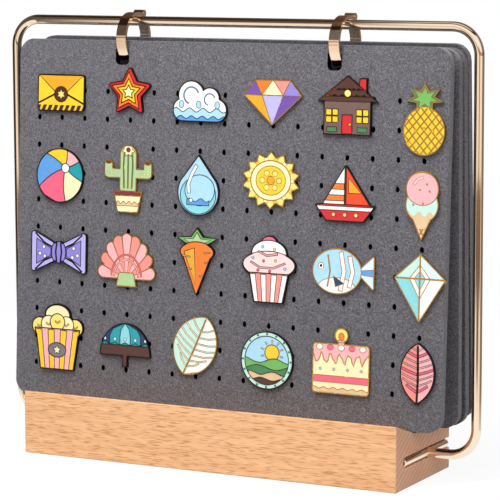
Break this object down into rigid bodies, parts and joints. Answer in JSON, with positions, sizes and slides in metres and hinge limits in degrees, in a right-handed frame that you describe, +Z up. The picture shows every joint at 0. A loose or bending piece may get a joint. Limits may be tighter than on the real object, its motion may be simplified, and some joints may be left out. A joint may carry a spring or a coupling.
{
  "type": "enamel pin display stand",
  "caption": "Table stand for enamel pins: felt boards with peg holes hang on binder rings from a wire frame, over a grooved wooden block.",
  "frame": {"origin": "centre of the wooden block's underside", "axes": "+X along the block to the right, +Y to the rear, +Z up; the front board faces -Y"},
  "size_m": [0.2938, 0.072, 0.251],
  "materials": {
    "beech": "sanded and oiled",
    "plated_wire": "polished light gold plate on steel",
    "ring_steel": "polished light gold plate on steel",
    "felt": "pressed felt",
    "enamelled_metal": "glossy enamel in metal cells",
    "clutch_brass": "bright"
  },
  "bodies": {
    "base": {"base_block": "beech"},
    "frame": {"frame_wire": "plated_wire", "t_foot_left": "plated_wire", "t_foot_right": "plated_wire"},
    "rings": {"ring_left_body": "ring_steel", "ring_left_hinge_pin": "ring_steel", "ring_right_body": "ring_steel", "ring_right_hinge_pin": "ring_steel"},
    "gate_left": {"ring_left_gate": "ring_steel"},
    "gate_right": {"ring_right_gate": "ring_steel"},
    "page_1": {"board_1": "felt", "post_clutches": "clutch_brass", "pin_01_envelope": "enamelled_metal", "pin_02_star": "enamelled_metal", "pin_03_cloud": "enamelled_metal", "pin_04_gem": "enamelled_metal", "pin_05_house": "enamelled_metal", "pin_06_pineapple": "enamelled_metal", "pin_07_ball": "enamelled_metal", "pin_08_cactus": "enamelled_metal", "pin_09_drop": "enamelled_metal", "pin_10_sun": "enamelled_metal", "pin_11_boat": "enamelled_metal", "pin_12_cone": "enamelled_metal", "pin_13_bow": "enamelled_metal", "pin_14_shell": "enamelled_metal", "pin_15_carrot": "enamelled_metal", "pin_16_cupcake": "enamelled_metal", "pin_17_fish": "enamelled_metal", "pin_18_kite": "enamelled_metal", "pin_19_popcorn": "enamelled_metal", "pin_20_umbrella": "enamelled_metal", "pin_21_leaf": "enamelled_metal", "pin_22_badge": "enamelled_metal", "pin_23_cake": "enamelled_metal", "pin_24_feather": "enamelled_metal"},
    "page_2": {"board_2": "felt"},
    "page_3": {"board_3": "felt"},
    "page_4": {"board_4": "felt"}
  },
  "joints": [
    {"name": "frame_draw", "type": "slide", "parent": "base", "child": "frame", "axis": [0, 1, 0], "range_m": [0, 0.06]},
    {"name": "rings_along_bar", "type": "slide", "parent": "frame", "child": "rings", "axis": [1, 0, 0], "range_m": [-0.005, 0.005]},
    {"name": "gate_left_open", "type": "hinge", "parent": "rings", "child": "gate_left", "pos_m": [-0.066, 0.01314, 0.24892], "axis": [-1, 0, 0], "range_deg": [0, 60]},
    {"name": "gate_right_open", "type": "hinge", "parent": "rings", "child": "gate_right", "pos_m": [0.066, 0.01314, 0.24892], "axis": [-1, 0, 0], "range_deg": [0, 60]},
    {"name": "page_1_turn", "type": "hinge", "parent": "rings", "child": "page_1", "pos_m": [0, 0.006, 0.2355], "axis": [1, 0, 0], "range_deg": [0, 15]},
    {"name": "page_2_turn", "type": "hinge", "parent": "page_1", "child": "page_2", "pos_m": [0, 0.006, 0.2355], "axis": [1, 0, 0], "range_deg": [0, 15]},
    {"name": "page_3_turn", "type": "hinge", "parent": "page_2", "child": "page_3", "pos_m": [0, 0.006, 0.2355], "axis": [1, 0, 0], "range_deg": [0, 15]},
    {"name": "page_4_turn", "type": "hinge", "parent": "page_3", "child": "page_4", "pos_m": [0, 0.006, 0.2355], "axis": [1, 0, 0], "range_deg": [0, 15]}
  ]
}
